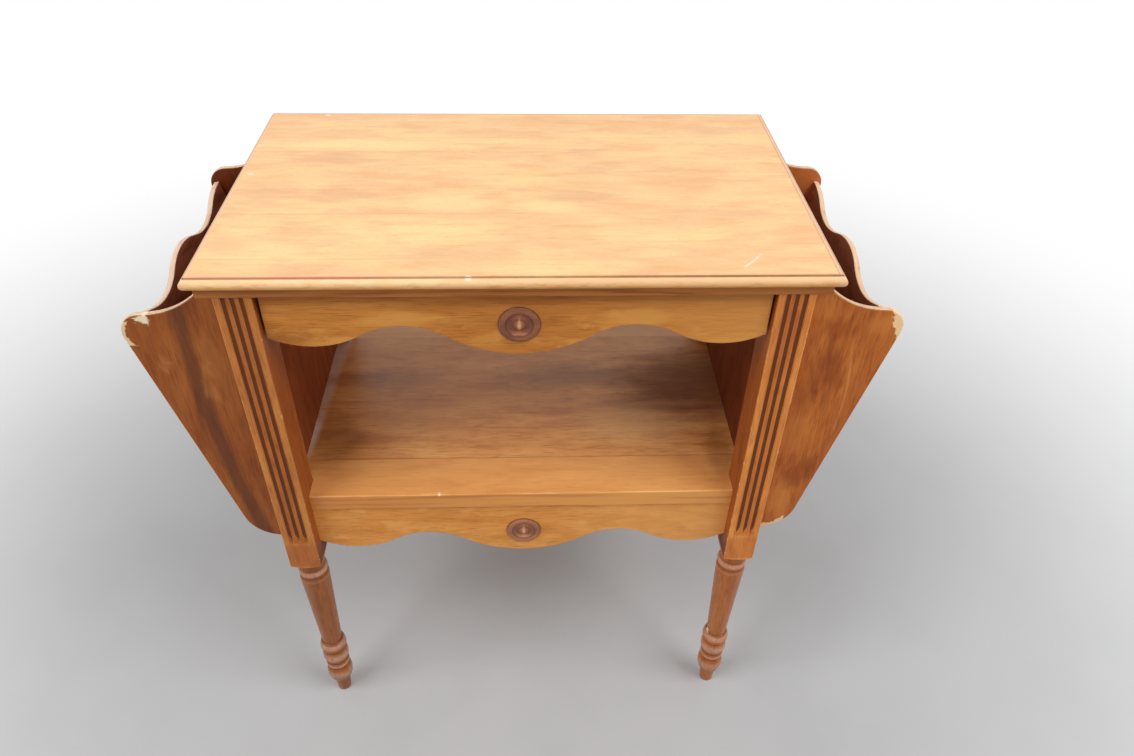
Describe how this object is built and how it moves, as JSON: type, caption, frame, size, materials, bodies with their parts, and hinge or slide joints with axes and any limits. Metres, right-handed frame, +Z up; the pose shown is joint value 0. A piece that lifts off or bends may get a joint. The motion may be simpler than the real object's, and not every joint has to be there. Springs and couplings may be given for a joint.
{
  "type": "side table",
  "caption": "Wooden side table with a moulded top, a shallow scalloped drawer over an open shelf bay, fluted posts on turned feet, and a slanted magazine rack at each end.",
  "frame": {"origin": "on the floor, under the middle of the table", "axes": "+Z up, front towards -Y, +X to the right seen from the front"},
  "size_m": [0.6752, 0.3274, 0.628],
  "materials": {
    "top": "golden maple, satin varnish, worn",
    "case": "orange-brown maple, satin varnish",
    "post": "orange-brown maple, satin varnish, darker in the flutes",
    "rack": "red-brown maple, satin varnish, pale worn edges",
    "rosette": "dark red-brown turned wood, varnished",
    "inner": "plain secondary wood, unvarnished",
    "dowel": "plain beech"
  },
  "bodies": {
    "table": {"table_top": "top", "front_left_post": "post", "front_right_post": "post", "rear_left_post": "post", "rear_right_post": "post", "left_side_panel": "case", "right_side_panel": "case", "left_top_cleat": "inner", "right_top_cleat": "inner", "left_shelf_cleat": "inner", "right_shelf_cleat": "inner", "left_drawer_runner": "inner", "right_drawer_runner": "inner", "shelf": "case", "lower_apron": "case", "lower_rear_rail": "inner", "upper_rear_rail": "inner", "lower_rosette": "rosette", "left_rack_front_panel": "rack", "left_rack_rear_panel": "rack", "left_rack_outer_panel": "rack", "left_rack_floor": "rack", "right_rack_front_panel": "rack", "right_rack_rear_panel": "rack", "right_rack_outer_panel": "rack", "right_rack_floor": "rack", "lower_apron_dowels": "dowel", "lower_rear_rail_dowels": "dowel", "upper_rear_rail_dowels": "dowel", "post_top_dowels": "dowel"},
    "drawer": {"drawer_front": "case", "drawer_left_side": "inner", "drawer_right_side": "inner", "drawer_back": "inner", "drawer_bottom": "inner", "drawer_rosette": "rosette"}
  },
  "joints": [
    {"name": "drawer_slide", "type": "slide", "parent": "table", "child": "drawer", "axis": [0, -1, 0], "range_m": [0, 0.19]}
  ]
}
